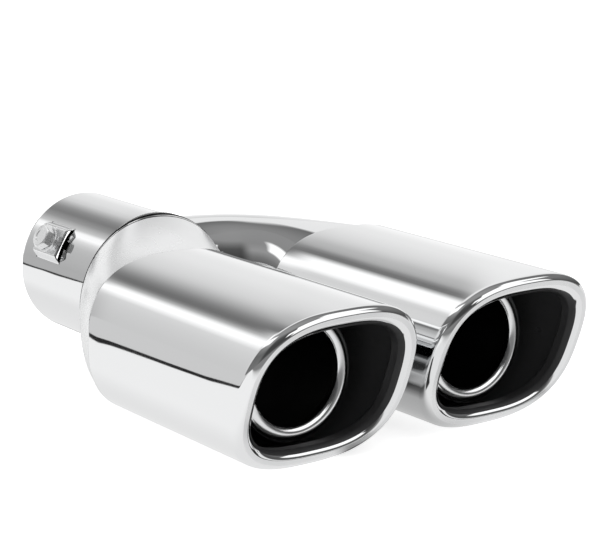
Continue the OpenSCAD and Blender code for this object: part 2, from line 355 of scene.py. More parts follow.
# painted shade: steel darkened to stand in for the shade inside the sleeve's bore
bore_shade = polished("bore_painted_shade", (0.3, 0.3, 0.305), 0.42)
zinc = polished("zinc_plate", (0.88, 0.885, 0.89), 0.2, 0.2, metal=0.75)
weld_metal = polished("weld_metal", (0.66, 0.66, 0.66), 0.3)


# Casings
def rim_round(x, inward, back, r, angles):
    """Rings of a round in the rim's section, whose centre lies inward of the casing's outside and back from
    the face. Angle 0 looks forwards, and larger angles turn towards the mouth."""
    return [face_ring(x, -inward - r * math.sin(a), back - r * math.cos(a)) for a in angles]


def soft_corner(x, start, corner, end):
    """Rings of a small curve between two points of (inward, back), bent towards a corner."""
    rings = []
    for t in (0.25, 0.5, 0.75):
        inward, back = (mix(mix(a, b, t), mix(b, c, t), t) for a, b, c in zip(start, corner, end))
        rings.append(face_ring(x, -inward, back))
    return rings


def rear_round(x, inward, a0, a1, steps):
    """Rings of the small round on the casing's rear edge."""
    return [flat_ring(x, REAR_Y - REAR_ROUND + REAR_ROUND * math.sin(a), -inward + REAR_ROUND * math.cos(a))
            for a in np.radians(np.linspace(a0, a1, steps))]


def casing_inside(x):
    """Inner skin, from the rear edge to the turned-in edge."""
    quarter = math.pi / 2
    front = face_ring(x, -SHEET, OUTER_BACK + 1)
    back = flat_ring(x, REAR_Y, -SHEET)
    rings = rear_round(x, SHEET - REAR_ROUND, 90, 180, 5)
    rings.append(flat_ring(x, REAR_Y - HOLD, -SHEET))
    rings += [mix(back, front, t) for t in (0.25, 0.5, 0.75, 1)]
    r = OUTER_R - SHEET
    meet = math.acos((OUTER_BACK - SHEET) / r)
    rings += rim_round(x, OUTER_R, OUTER_BACK, r, np.linspace(-quarter, -meet, 9))
    r = BEAD_R - SHEET
    meet = math.acos((BEAD_BACK - SHEET) / r)
    rings += rim_round(x, BEAD_IN, BEAD_BACK, r, np.linspace(meet, BEAD_END, 9))
    rings.append(face_ring(x, -LIP_W + SHEET, RIM_RETURN - 1))
    return rings


def turned_edge(x):
    """The edge turned back into the mouth: its round end, its flank and the small turn at its front."""
    half = SHEET / 2
    rings = [face_ring(x, -LIP_W + u, RIM_RETURN - half + v) for u, v in arc(half, 0, half, 0, 180, 9)]
    rings += [face_ring(x, -LIP_W, RIM_RETURN - 1), face_ring(x, -LIP_W, TURN_BACK + 0.6)]
    rings += rim_round(x, TURN_IN, TURN_BACK, TURN_R, np.linspace(math.pi / 2, BEAD_END, 7))
    return rings


def bead(x, lowest, highest):
    """Rings of the inner round whose angle lies between two limits."""
    angles = np.linspace(BEAD_END, BEAD_EDGE + FLAT_EDGE / BEAD_R, 24)[1:]
    return rim_round(x, BEAD_IN, BEAD_BACK, BEAD_R, [a for a in angles if lowest < a <= highest])


def inner_corner(x):
    """Soft edge between the inner round and the ground flat."""
    flat = RIM_ROUND + RIM_FLAT
    start = flat + FLAT_EDGE * math.cos(BEAD_EDGE), FLAT_EDGE * math.sin(BEAD_EDGE)
    return soft_corner(x, start, (flat, 0), (flat - FLAT_EDGE, 0))


def outer_corner(x):
    """Soft edge between the ground flat and the outer round."""
    end = RIM_ROUND - FLAT_EDGE * math.cos(OUTER_EDGE), FLAT_EDGE * math.sin(OUTER_EDGE)
    rings = [face_ring(x, -RIM_ROUND - FLAT_EDGE, 0)]
    return rings + soft_corner(x, (RIM_ROUND + FLAT_EDGE, 0), (RIM_ROUND, 0), end)


def ground_flat(x):
    inner = RIM_ROUND + RIM_FLAT - FLAT_EDGE
    outer = RIM_ROUND + FLAT_EDGE
    return [face_ring(x, -inward, 0) for inward in (inner, inner - FLAT_BORDER, outer + FLAT_BORDER)]


def casing_outside(x):
    """The outer round and the long wall."""
    angles = np.linspace(-OUTER_EDGE - FLAT_EDGE / OUTER_R, -math.pi / 2, 26)
    front = face_ring(x, 0, OUTER_BACK + HOLD)
    back = flat_ring(x, REAR_Y - HOLD, 0)
    return (rim_round(x, OUTER_R, OUTER_BACK, OUTER_R, angles)
            + [mix(front, back, t) for t in (0, 0.25, 0.5, 0.75, 1)])


def casing(side, x):
    """Outlet's outer shell, as one closed section from the rear edge round the rim and back."""
    STEEL, DARK, SATIN, TURNED = range(4)
    # The inside, the turned edge, the bead behind BEAD_BRIGHT and the outer round of the rear edge carry
    # painted shade, the last as a painted shadow line.
    rings, mats = spread([
        (DARK, casing_inside(x)),
        (TURNED, turned_edge(x)),
        (TURNED, bead(x, BEAD_BRIGHT, BEAD_END)),
        (STEEL, bead(x, 0, BEAD_BRIGHT)),
        (STEEL, inner_corner(x)),
        (SATIN, ground_flat(x)),
        (STEEL, outer_corner(x)),
        (STEEL, casing_outside(x)),
        (DARK, rear_round(x, REAR_ROUND, 0, 90, 6)),
    ])
    ob = ring_mesh(side + "_casing_skin", rings, [steel, dark, satin, turned], mats, closed=True)
    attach(ob, "root")
    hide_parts(side + "_casing")


# Left cap
def left_shape(u):
    """Half width, half height, squareness, offset, x and z of the left cap. u is 0 at the casing and 1 at
    the ridge."""
    e = u ** CAP_EASE
    return (mix(HALF_W, RIDGE_R, e), mix(HALF_H, RIDGE_R, e), mix(SQUARE, 2, e), mix(-SHEET - FIT, 0, e),
            mix(LEFT_X, 0, e), mix(-DROP, -RIDGE_DROP, e))


def left_ring(u, inward):
    w, h, square, off, x, z = left_shape(u)
    q = outline(w, h, square, off - inward - INSET)
    return np.stack([x + q[:, 0], np.full(AROUND, mix(REAR_Y, RIDGE_Y, u)), z + q[:, 1]], 1)


def left_inside(point):
    """True where a point lies inside the left cap's outer skin or the sleeve."""
    x, y, z = point
    if -SLEEVE_LEN <= y <= 0:
        return math.hypot(x, z) < SLEEVE_R
    if y > 0 or y < REAR_Y:
        return False
    w, h, square, off, cx, cz = left_shape(min(1.0, (y - REAR_Y) / (RIDGE_Y - REAR_Y)))
    over = y - RIDGE_Y
    if over > 0:
        off -= RIDGE_ROUND - math.sqrt(max(0, RIDGE_ROUND ** 2 - over ** 2))
    return abs((x - cx) / (w + off)) ** square + abs((z - cz) / (h + off)) ** square < 1


def left_cap():
    """Shell from the left casing to the ridge round the sleeve, with a seam of two grooves there. The
    grooves and the inner skin carry painted shade.
    """
    CAP, INSIDE, BRIGHT, GROOVE = range(4)
    steps = 40
    length = RIDGE_Y - REAR_Y
    groove_depth = 0.14
    seam_start = 2.4
    seam = ((2.3, CAP), (2.25, GROOVE), (1.85, GROOVE), (1.8, BRIGHT), (1.5, BRIGHT), (1.2, BRIGHT),
            (1.15, GROOVE), (0.6, GROOVE), (0.0, GROOVE))
    ridge = ((10, GROOVE), (20, GROOVE), (24, BRIGHT), (36, BRIGHT), (48, BRIGHT), (60, BRIGHT),
             (70, BRIGHT), (80, BRIGHT), (90, BRIGHT))
    rings = [flat_ring(LEFT_X, REAR_Y - COLLAR + i * 3, -SHEET - FIT) for i in range(3)]
    rings += [left_ring(i / steps, 0) for i in range(steps + 1) if i / steps < 1 - seam_start / length]
    mats = [CAP] * len(rings)
    for gap, mat in seam:
        rings.append(left_ring(1 - gap / length, groove_depth if mat == GROOVE else 0))
        mats.append(mat)
    for degrees, mat in ridge:
        a = math.radians(degrees)
        r = RIDGE_R - INSET - (groove_depth if mat == GROOVE else 0) - RIDGE_ROUND * (1 - math.cos(a))
        rings.append(round_ring(r, RIDGE_Y + RIDGE_ROUND * math.sin(a), -RIDGE_DROP))
        mats.append(mat)
    # rear wall, then the inner skin back to the casing
    rim, hole = rings[-1], round_ring(BORE_R, -SLEEVE_LEN, 0)
    wall = [mix(rim, hole, 0.1), mix(rim, hole, 0.9), hole]
    inner = [round_ring(BORE_R, -SLEEVE_LEN - SHEET, 0),
             round_ring(RIDGE_R - SHEET - 0.3, -SLEEVE_LEN - SHEET, -RIDGE_DROP)]
    inner += [left_ring(i / steps, SHEET) for i in range(steps - 1, -1, -2)]
    inner.append(flat_ring(LEFT_X, REAR_Y - COLLAR, -2 * SHEET - FIT))
    mats += [BRIGHT] * len(wall) + [INSIDE] * len(inner)
    ob = ring_mesh("left_cap_skin", rings + wall + inner, [cap_steel, dark, steel, painted_shade_black], mats, closed=True)
    boolean(ob, bend_bar(BRANCH_R - SHEET))
    ob.data.set_sharp_from_angle(angle=math.radians(38))
    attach(ob, "root")
    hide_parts("left_cap")


# Branch pipe and right cap
def bend_point(theta, r, phi):
    """Point of the branch's bend: angle of the bend, distance from its centre line, angle round it."""
    k = BEND_R + r * math.cos(phi)
    return (BEND_X + k * math.cos(theta), REAR_Y + k * math.sin(theta), BRANCH_RISE + r * math.sin(phi))


def bend_bar(r):
    """Bar along the branch's bend, to cut its opening with."""
    start, end, steps, around = CAP_TURN, 98, 48, 96
    phi = np.arange(around) * 2 * np.pi / around
    theta = np.radians(np.linspace(start, end, steps))
    rings = [np.array([bend_point(t, r, p) for p in phi]) for t in theta]
    return ring_mesh("cutter", rings, [], caps=True)


def right_ring(u, inward):
    e = 1 - (1 - u) ** BRANCH_EASE
    off = mix(-SHEET - FIT, 0, e) - inward
    a = math.radians(CAP_TURN) * u
    r = mix(BEND_OFFSET, BEND_R, e)
    q = outline(mix(HALF_W, BRANCH_R, e), mix(HALF_H, BRANCH_R, e), mix(SQUARE, 2, e), off - INSET * (1 - e))
    return np.stack([BEND_X + (r + q[:, 0]) * math.cos(a), REAR_Y + (r + q[:, 0]) * math.sin(a),
                     mix(-DROP, BRANCH_RISE, e) + q[:, 1]], 1)


def branch_end(phi):
    """Angle of the bend where one line of the branch runs into the left cap or the sleeve."""
    start, last = math.radians(CAP_TURN), math.radians(97.5)
    outside, inside = start, last
    for t in np.linspace(start, last, 60):
        if left_inside(bend_point(t, BRANCH_R, phi)):
            inside = t
            break
        outside = t
    for _ in range(26):
        middle = (outside + inside) / 2
        if left_inside(bend_point(middle, BRANCH_R, phi)):
            inside = middle
        else:
            outside = middle
    return (outside + inside) / 2


def branch():
    """Right cap and branch pipe as one skin, ended where it meets the sleeve and the left cap."""
    STEEL, DARK = range(2)
    start = math.radians(CAP_TURN)
    cap_steps, pipe_steps = 40, 44
    overrun = 0.003  # radians that the pipe goes on into the cap
    outer = [flat_ring(RIGHT_X, REAR_Y - COLLAR + i * 3, -SHEET - FIT) for i in range(3)]
    outer += [right_ring(i / cap_steps, 0) for i in range(cap_steps + 1)]
    x, y, z = outer[-1].T
    phi = np.arctan2(z - BRANCH_RISE, np.hypot(x - BEND_X, y - REAR_Y) - BEND_R)
    ends = [branch_end(p) for p in phi]

    def pipe_ring(t, r, over):
        return np.array([bend_point(mix(start, e + over, t), r, p) for e, p in zip(ends, phi)])

    outer += [pipe_ring(i / pipe_steps, BRANCH_R, overrun) for i in range(1, pipe_steps + 1)]
    inner = [pipe_ring(1, BRANCH_R - SHEET, overrun)]
    inner += [pipe_ring(i / pipe_steps, BRANCH_R - SHEET, 0) for i in range(pipe_steps - 4, 0, -6)]
    inner += [right_ring(i / cap_steps, SHEET) for i in range(cap_steps, -1, -4)]
    inner.append(flat_ring(RIGHT_X, REAR_Y - COLLAR, -2 * SHEET - FIT))
    # the inner skin carries painted shade
    mats = [STEEL] * len(outer) + [DARK] * len(inner)
    ob = ring_mesh("branch_skin", outer + inner, [steel, dark], mats, closed=True)
    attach(ob, "root")
    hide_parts("branch_pipe", "right_cap")


# Sleeve and clamp
ALONG = Matrix(((1, 0, 0), (0, 0, -1), (0, 1, 0))).to_4x4()
CLAMP_SIDE = ALONG @ Matrix.Rotation(math.radians(180 - CLAMP_ANGLE), 4, "Z")
AT_CLAMP = (CLAMP_SIDE @ Matrix.Translation((0, 0, CLAMP_BACK * MM))
            @ Matrix.Rotation(math.radians(90), 4, "Y"))
STRAP_SPAN = math.degrees(STRAP_LEN / SLEEVE_R)
STRAP_LO = CLAMP_BACK - STRAP_W / 2
STRAP_HI = CLAMP_BACK + STRAP_W / 2
PAD_HALF = math.degrees(math.asin((NUT_W / 2 + 0.6) / (PAD_R - SHEET)))
HOLE_R = BOLT_D / 2 + 0.2
NUT_LO = PAD_R - SHEET - NUT_T


def sector(name, r0, r1, half, z0, z1, corner):
    """Curved block between two radii, with its corners rounded as seen from outside."""
    middle = (r0 + r1) / 2
    w, h = math.radians(half) * middle, (z1 - z0) / 2
    longest = 0.8
    path = []
    for cx, cy, a0 in ((w - corner, h - corner, 0), (-w + corner, h - corner, 90),
                       (-w + corner, -h + corner, 180), (w - corner, -h + corner, 270)):
        path += arc(cx, cy, corner, a0, a0 + 90, 7)
    fine = []
    for i, p in enumerate(path):
        q = path[(i + 1) % len(path)]
        k = max(1, int(math.dist(p, q) / longest))
        fine += [(mix(p[0], q[0], j / k), mix(p[1], q[1], j / k)) for j in range(k)]
    run, height = np.array(fine).T
    height = height + (z0 + z1) / 2
    rings = [np.stack([r * np.cos(run / middle), r * np.sin(run / middle), height], 1) for r in (r0, r1)]
    return ring_mesh(name, rings, [], caps=True)


def sleeve():
    """Round sleeve with the strap's window, its two slits and the notch in the front one."""
    STEEL, BORE = range(2)
    e = 0.3
    near = 0.9
    profile = [(BORE_R, SLEEVE_LEN), (BORE_R, 30), (BORE_R, near)]
    profile += arc(BORE_R + e, e, e, 180, 270, 5) + arc(SLEEVE_R - e, e, e, -90, 0, 5)
    profile += [(SLEEVE_R, near), (SLEEVE_R, 8), (SLEEVE_R, 35), (SLEEVE_R, SLEEVE_LEN)]
    # the bore carries painted shade
    marks = [BORE, BORE] + [STEEL] * (len(profile) - 2)
    ob = revolve("inlet_sleeve_skin", profile, [steel, bore_shade], AROUND, marks)
    transform(ob, ALONG)
    margin = 0.1
    for name, lo, hi, corner in (("slit", STRAP_LO - SLIT_W, STRAP_LO, SLIT_W / 2 - SUNK),
                                 ("slit", STRAP_HI, STRAP_HI + SLIT_W, SLIT_W / 2 - SUNK),
                                 ("window", STRAP_LO - margin, STRAP_HI + margin, 0.05)):
        cut = sector(name, BORE_R - 2, SLEEVE_R + 2, STRAP_SPAN / 2, lo, hi, corner)
        transform(cut, CLAMP_SIDE)
        boolean(ob, cut)
    notch = block("notch", (-STRAP_W / 2 - SLIT_W - NOTCH_LEN, -NOTCH_W / 2, BORE_R - 2),
                  (-STRAP_W / 2 - SLIT_W / 2, NOTCH_W / 2, SLEEVE_R + 1))
    transform(notch, AT_CLAMP)
    boolean(ob, notch)
    boolean(ob, bend_bar(BRANCH_R - SHEET))
    ob.data.set_sharp_from_angle(angle=math.radians(30))
    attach(ob, "root")
    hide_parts("inlet_sleeve")


def strap_radius(a, pad, foot):
    """Radius of one of the strap's skins: flat under the screw, then down to the sleeve's wall."""
    t = max(0, min(1, (abs(a) - PAD_HALF) / (STRAP_SPAN / 2 - PAD_HALF)))
    return mix(pad / math.cos(math.radians(a)), foot, t * t * (3 - 2 * t))


def strap_section(outer, inner, edge):
    """The strap's section as (radius, height) points, with rounded edges and points beside them."""
    lo, hi = STRAP_LO, STRAP_HI
    section = (arc(outer - edge, hi - edge, edge, 0, 90, 4)
               + arc(inner + edge, hi - edge, edge, 90, 180, 4)
               + arc(inner + edge, lo + edge, edge, 180, 270, 4)
               + arc(outer - edge, lo + edge, edge, 270, 360, 4))
    fine = []
    for i, p in enumerate(section):
        q = section[(i + 1) % len(section)]
        fine.append(p)
        length = math.dist(p, q)
        if length > 0.5:
            near = min(0.12, 0.3 / length)
            fine += [(mix(p[0], q[0], t), mix(p[1], q[1], t)) for t in (near, 0.5, 1 - near)]
    return fine


def strap():
    """The strap pressed out of the sleeve's wall, with the screw's hole."""
    steps, edge, foot = 64, 0.28, 1.2
    half = STRAP_SPAN / 2
    angles = [-half - foot] + [STRAP_SPAN * (i / steps - 0.5) for i in range(steps + 1)] + [half + foot]
    rings = []
    for a in angles:
        outer = strap_radius(a, PAD_R, SLEEVE_R - SUNK)
        inner = strap_radius(a, PAD_R - SHEET, BORE_R + SUNK)
        c, s = math.cos(math.radians(a)), math.sin(math.radians(a))
        rings.append(np.array([(r * c, r * s, z) for r, z in strap_section(outer, inner, edge)]))
    ob = ring_mesh("strap", rings, [pressed], caps=True, angle=40)
    transform(ob, CLAMP_SIDE)
    hole = cylinder("hole", HOLE_R, BORE_R, PAD_R + 4)
    transform(hole, AT_CLAMP)
    boolean(ob, hole)
    ob.data.set_sharp_from_angle(angle=math.radians(35))
    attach(ob, "root")


def slit_shade_strips():
    """Dark inner strips behind the slits: painted shade in the gaps under the strap."""
    under = 3.6
    for lo, hi in ((STRAP_LO - SLIT_W - 0.6, STRAP_LO + under),
                   (STRAP_HI - under, STRAP_HI + SLIT_W + NOTCH_LEN + 0.3)):
        strip = sector("slit_shade_strip", BORE_R + SUNK, BORE_R + 0.2, STRAP_SPAN / 2 + 1, lo, hi, 0.3)
        strip.data.materials.append(painted_shade_black)
        transform(strip, CLAMP_SIDE)
        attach(strip, "root")


def screw_head(seat):
    """Hexagon head with a washer face, a chamfered top and a dished middle."""
    apothem = HEAD_AF / 2
    corner = apothem / math.cos(math.pi / 6)
    chamfer, top_edge, dish = 1.0, 0.06, 0.35
    slope = math.tan(math.radians(60))
    # height above the washer, largest radius, and how far the flats are drawn in
    profile = [(0, apothem * 0.9, 0), (0.25, apothem * 0.9, 0), (0.26, apothem * 0.96, 0),
               (0.4, corner + 0.2, 0.12), (0.55, corner + 0.2, 0)]
    profile += [(HEAD_H - down, down * slope + apothem * 0.93, 0)
                for down in np.linspace(chamfer, top_edge, 12)]
    profile += [(HEAD_H, apothem * 0.9, 0), (HEAD_H, apothem * 0.62, 0),
                (HEAD_H - dish, apothem * 0.5, 0), (HEAD_H - dish, 0.02, 0)]
    n = 96
    a = np.arange(n) * 2 * np.pi / n
    flats = apothem / np.cos((a + np.pi / 6) % (np.pi / 3) - np.pi / 6)
    rings = []
    for height, limit, shrink in profile:
        r = np.minimum(flats - shrink, limit)
        rings.append(np.stack([r * np.cos(a), r * np.sin(a), np.full(n, seat + height)], 1))
    return ring_mesh("clamp_screw_head", rings, [zinc], caps=True, angle=28)


def screw_thread(z0, z1, r, depth):
    """Rolled thread as one helical strip."""
    pitch, per_turn = 1.0, 40
    profile = ((0.0, -depth), (0.12, -depth), (0.44, 0), (0.56, 0), (0.88, -depth))
    count = int((z1 - z0) / pitch * per_turn)
    verts, faces = [], []
    for i in range(count + 1):
        a = 2 * math.pi * i / per_turn
        for dz, dr in profile:
            z = min(z1, max(z0, z0 + pitch * (i / per_turn - 1 + dz)))
            verts.append(((r + dr) * math.cos(a), (r + dr) * math.sin(a), z))
    k = len(profile)
    for i in range(count):
        for j in range(i * k, i * k + k - 1):
            faces.append((j, j + 1, j + k + 1, j + k))
    return mesh_object("clamp_screw_shank", verts, faces, [zinc], angle=25)


def screw():
    """Hexagon-head screw that passes through the washer, the strap and the nut."""
    seat = PAD_R + WASHER_T
    top = seat + 0.05
    r, depth = BOLT_D / 2 - 0.02, 0.55
    ob = screw_head(seat)
    core = cylinder("core", r - depth + 0.01, NUT_LO, top, 48, [zinc])
    parts = [ob, screw_thread(NUT_LO, top, r, depth), core]
    for o in parts:
        transform(o, AT_CLAMP)
    join(parts)
    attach(ob, "root")
    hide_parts("clamp_bolt")


def washer():
    r0, r1, e = HOLE_R, WASHER_OD / 2, 0.16
    section = (arc(r1 - e, e, e, -90, 0, 4) + arc(r1 - e, WASHER_T - e, e, 0, 90, 4)
               + arc(r0 + e, WASHER_T - e, e, 90, 180, 4) + arc(r0 + e, e, e, 180, 270, 4))
    ob = revolve("clamp_washer_ring", [(r, PAD_R + z) for r, z in section], [zinc], 96)
    transform(ob, AT_CLAMP)
    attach(ob, "root")
    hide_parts("clamp_washer")


def nut():
    """Square nut under the strap."""
    h = NUT_W / 2
    ob = block("clamp_nut_block", (-h, -h, NUT_LO), (h, h, NUT_LO + NUT_T))
    ob.data.materials.append(zinc)
    boolean(ob, cylinder("hole", BOLT_D / 2 + 0.05, NUT_LO - 1, NUT_LO + NUT_T + 1))
    bevel = ob.modifiers.new("edge", "BEVEL")
    bevel.width, bevel.segments, bevel.limit_method = 0.25 * MM, 2, "ANGLE"
    transform(ob, AT_CLAMP)
    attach(ob, "root")
    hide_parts("clamp_nut")


def weld():
    """Bead between the sleeve and the left cap, with the ripples that a torch leaves."""
    n, ripples, ripple_depth = 960, 150, 0.22
    sunk = SLEEVE_R - SUNK
    a = np.arange(n) * 2 * np.pi / n
    wave = 1 - ripple_depth * ((a * ripples / (2 * np.pi)) % 1) ** 2
    rings = []
    for t in np.radians(np.linspace(0, 90, 7)):
        r = sunk + BEAD * np.cos(t) * np.where(np.cos(t) > 0.01, wave, 1)
        rings.append(np.stack([r * np.cos(a), -SLEEVE_LEN + BEAD * np.sin(t) * wave, r * np.sin(a)], 1))
    rings.append(np.stack([sunk * np.cos(a), np.full(n, -SLEEVE_LEN), sunk * np.sin(a)], 1))
    ob = ring_mesh("sleeve_weld_bead", rings, [weld_metal], closed=True, angle=50)
    boolean(ob, bend_bar(BRANCH_R - 0.2))
    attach(ob, "root")
    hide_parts("sleeve_weld")


# Inside the outlets
def inner_tube(side, x):
    """Round tube with an elliptic rolled lip, with painted shade inside it and on its outside."""
    LIP, OUTSIDE, INSIDE = range(3)
    front = FACE_Y + SETBACK
    length = BAFFLE_Y + TAIL - front
    roll = TUBE_LIP - SHEET
    c = TUBE_R - TUBE_LIP
    back, bevel = 2 * TUBE_LIP, 0.1
    mouth = LIP_R - LIP_HALF
    profile, marks = spread([
        (LIP, [(LIP_R + LIP_HALF * math.cos(a), LIP_DEEP * (1 + math.sin(a)))
               for a in np.radians(np.linspace(0, -180, 37))]),
        (LIP, [(mouth, TUBE_LIP + 0.4), (mouth, back - bevel), (mouth + bevel, back)]),
        (INSIDE, [(c - roll - bevel, back), (c - roll, back - bevel), (c - roll, TUBE_LIP)]),
        (INSIDE, arc(c, TUBE_LIP, roll, 180, 360, 9)),
        (INSIDE, [(c + roll, length / 2), (c + roll, length), (TUBE_R, length)]),
        (OUTSIDE, [(TUBE_R, length / 2), (TUBE_R, TUBE_LIP + 2.5)]),
        (LIP, [(TUBE_R, TUBE_LIP + 0.9)]),
    ])
    ob = revolve(side + "_inner_tube_skin", profile, [lip, dark, painted_shade_black], 192, marks)
    place = Matrix.Translation(Vector((x, front, -DROP)) * MM)
    transform(ob, place @ Matrix.Rotation(math.radians(-90), 4, "X"))
    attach(ob, "root")
    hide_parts(side + "_inner_tube")


def baffle(side, x):
    """Flanged plate with a rounded bend and the tube's hole."""
    edge = -SHEET - FIT
    bend = BAFFLE_BEND
    inner_bend = bend - SHEET
    rings = [flat_ring(x, BAFFLE_Y - FLANGE, edge)]
    for a in np.radians(np.linspace(0, 90, 8)):
        rings.append(flat_ring(x, BAFFLE_Y - bend * (1 - math.sin(a)), edge - bend * (1 - math.cos(a))))
    corner = outline(HALF_W, HALF_H, SQUARE, edge - bend)
    a = np.arctan2(corner[:, 1], corner[:, 0])
    r = TUBE_R + FIT
    for y in (BAFFLE_Y, BAFFLE_Y - SHEET):
        rings.append(np.stack([x + r * np.cos(a), np.full(AROUND, y), r * np.sin(a) - DROP], 1))
    for a in np.radians(np.linspace(90, 0, 6)):
        y = BAFFLE_Y - bend + inner_bend * math.sin(a)
        rings.append(flat_ring(x, y, edge - bend + inner_bend * math.cos(a)))
    rings.append(flat_ring(x, BAFFLE_Y - FLANGE, edge - SHEET))
    # the baffle plate carries painted shade
    ob = ring_mesh(side + "_baffle_plate", rings, [dark], closed=True)
    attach(ob, "root")
    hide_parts(side + "_baffle")


for side, x in (("left", LEFT_X), ("right", RIGHT_X)):
    casing(side, x)
    inner_tube(side, x)
    baffle(side, x)
left_cap()
branch()
sleeve()
strap()
slit_shade_strips()
screw()
washer()
nut()
weld()


# Shader sums
def maths(nt, op, a, b=None):
    nd = nt.nodes.new("ShaderNodeMath")
    nd.operation = op
    for socket, v in zip(nd.inputs, (a, b)):
        if isinstance(v, (int, float)):
            socket.default_value = v
        elif v is not None:
            nt.links.new(v, socket)
    return nd.outputs[0]


def plus(nt, a, b):
    return maths(nt, "ADD", a, b)


def minus(nt, a, b):
    return maths(nt, "SUBTRACT", a, b)


def times(nt, a, b):
    return maths(nt, "MULTIPLY", a, b)


def larger(nt, a, b):
    return maths(nt, "MAXIMUM", a, b)


def step(nt, value, a, b):
    """Rises smoothly from 0 at a to 1 at b."""
    nd = add(nt, "ShaderNodeMapRange")
    nd.interpolation_type = "SMOOTHSTEP"
    nd.inputs["From Min"].default_value = a
    nd.inputs["From Max"].default_value = b
    nt.links.new(value, nd.inputs["Value"])
    return nd.outputs["Result"]


def between(nt, value, lo, hi, soft):
    """1 between two limits and 0 outside them, with soft ends."""
    return times(nt, step(nt, value, lo - soft, lo + soft), step(nt, value, hi + soft, hi - soft))


def patch(nt, u, v, area, soft):
    """1 inside an area of two limits along u and two along v, and 0 outside it."""
    return times(nt, between(nt, u, area[0], area[1], soft[0]), between(nt, v, area[2], area[3], soft[1]))


def blend(nt, a, b, t):
    """Value between two others."""
    return plus(nt, times(nt, a, minus(nt, 1.0, t)), times(nt, b, t))


def levels(nt, value, stops):
    """Curve through (place, level) stops, straight between them."""
    lo, hi = stops[0][0], stops[-1][0]
    nd = nt.nodes.new("ShaderNodeValToRGB")
    points = nd.color_ramp.elements
    while len(points) < len(stops):
        points.new(0.5)
    for point, (place, level) in zip(points, stops):
        point.position = (place - lo) / (hi - lo)
        point.color = (level, level, level, 1)
    nt.links.new(times(nt, minus(nt, value, lo), 1 / (hi - lo)), nd.inputs["Fac"])
    return nd.outputs["Color"]


# Floor: a plain pale sheet to the camera and to diffuse light. For glossy rays it glows with painted
# reflections: a white card with a dark edge line and grey beyond it, and painted shade under the rims and
# between the casings. Places on it are in metres, and light is linear.
CARD = 0.86
CARD_LEFT = 0.985
CARD_GREY = (0.68, 0.48)  # beyond the line, seen by the casings and by the sleeve
LINE_DARK = (0.025, 0.06)
FOOT_DARK = 0.04
FRONT_DARK = 0.24  # share of the card's light that is left in front of the outlets
CAMERA_GLOW = 0.64
# Axes across and along the camera's view, and how the view spreads along it
FAN_COS = 0.778
FAN_SIN = 0.629
FAN_START = -0.03
FAN_SPREAD = 0.0927
# Where the edge line bends towards each side, and how steeply
BEND_RIGHT = (-0.098, 3.4)
BEND_LEFT = (-0.155, 1.4)
SLEEVE_FROM = (-0.09, -0.074)
# Fades of the card, each from none to full
LEFT_FADE = (-0.045, -0.08)
GAP_SIDE = (0.0, 0.012)
GAP_FRONT = (-0.205, -0.19)
GAP_ALONG = (-0.158, -0.145)
FRONT_FADE = (-0.25, -0.32)
LINE_FADE = (-0.2, -0.12)
# Shade under each rim, as limits along x and y
FEET = ((-0.03, 0.022, -0.2125, -0.2), (0.071, 0.119, -0.2185, -0.2))
FEET_SOFT = (0.002, 0.001)
# Light under the gap between the casings, against x
GAP_OUTER = ((0.01, 0.06), (0.018, 0.12), (0.024, 0.25), (0.03, 0.42), (0.045, 0.48), (0.06, 0.6),
             (0.08, CARD))
GAP_INNER = ((0.01, 0.03), (0.03, 0.05), (0.045, 0.35), (0.06, 0.6), (0.08, CARD))
# The edge line's distance and its half width, against the place across the view
LINE_PLACE = ((-0.175, 0.092), (-0.156, 0.086), (-0.136, 0.092), (-0.115, 0.106), (-0.105, 0.112),
              (-0.095, 0.11), (-0.06, 0.2), (-0.05, 0.3), (-0.041, 0.22), (-0.032, 0.15), (-0.023, 0.12),
              (-0.017, 0.075), (-0.011, 0.05))
LINE_HALF = ((-0.175, 0.02), (-0.15, 0.017), (-0.126, 0.015), (-0.095, 0.016), (-0.06, 0.03), (-0.045, 0.06),
             (-0.03, 0.05), (-0.017, 0.035), (-0.011, 0.035))


def card_light(nt, px, py):
    """The card's light where polished metal sees it, from the place on the floor."""
    across = plus(nt, times(nt, px, FAN_COS), times(nt, py, FAN_SIN))
    along = minus(nt, times(nt, py, FAN_COS), times(nt, px, FAN_SIN))
    fan = minus(nt, across, times(nt, minus(nt, along, FAN_START), FAN_SPREAD))
    bend = plus(nt, times(nt, larger(nt, minus(nt, fan, BEND_RIGHT[0]), 0.0), BEND_RIGHT[1]),
                times(nt, larger(nt, minus(nt, BEND_LEFT[0], fan), 0.0), BEND_LEFT[1]))
    sleeve_side = step(nt, fan, *SLEEVE_FROM)
    # the open card, the gap between the casings and the shade under the rims
    card = blend(nt, CARD, CARD_LEFT, step(nt, px, *LEFT_FADE))
    gap = times(nt, step(nt, px, *GAP_SIDE), step(nt, py, *GAP_FRONT))
    under = blend(nt, levels(nt, px, GAP_OUTER), levels(nt, px, GAP_INNER), step(nt, py, *GAP_ALONG))
    card = blend(nt, card, under, gap)
    feet = [patch(nt, px, py, foot, FEET_SOFT) for foot in FEET]
    card = blend(nt, card, FOOT_DARK, larger(nt, *feet))
    card = times(nt, card, blend(nt, 1.0, FRONT_DARK, step(nt, py, *FRONT_FADE)))
    # the edge line and the grey beyond it
    over = maths(nt, "DIVIDE", minus(nt, minus(nt, along, bend), levels(nt, fan, LINE_PLACE)),
                 levels(nt, fan, LINE_HALF))
    card = blend(nt, card, blend(nt, *CARD_GREY, sleeve_side), step(nt, over, -0.3, 0.6))
    line = times(nt, between(nt, over, -1, 1, 0.2), step(nt, py, *LINE_FADE))
    return blend(nt, card, blend(nt, *LINE_DARK, sleeve_side), line)


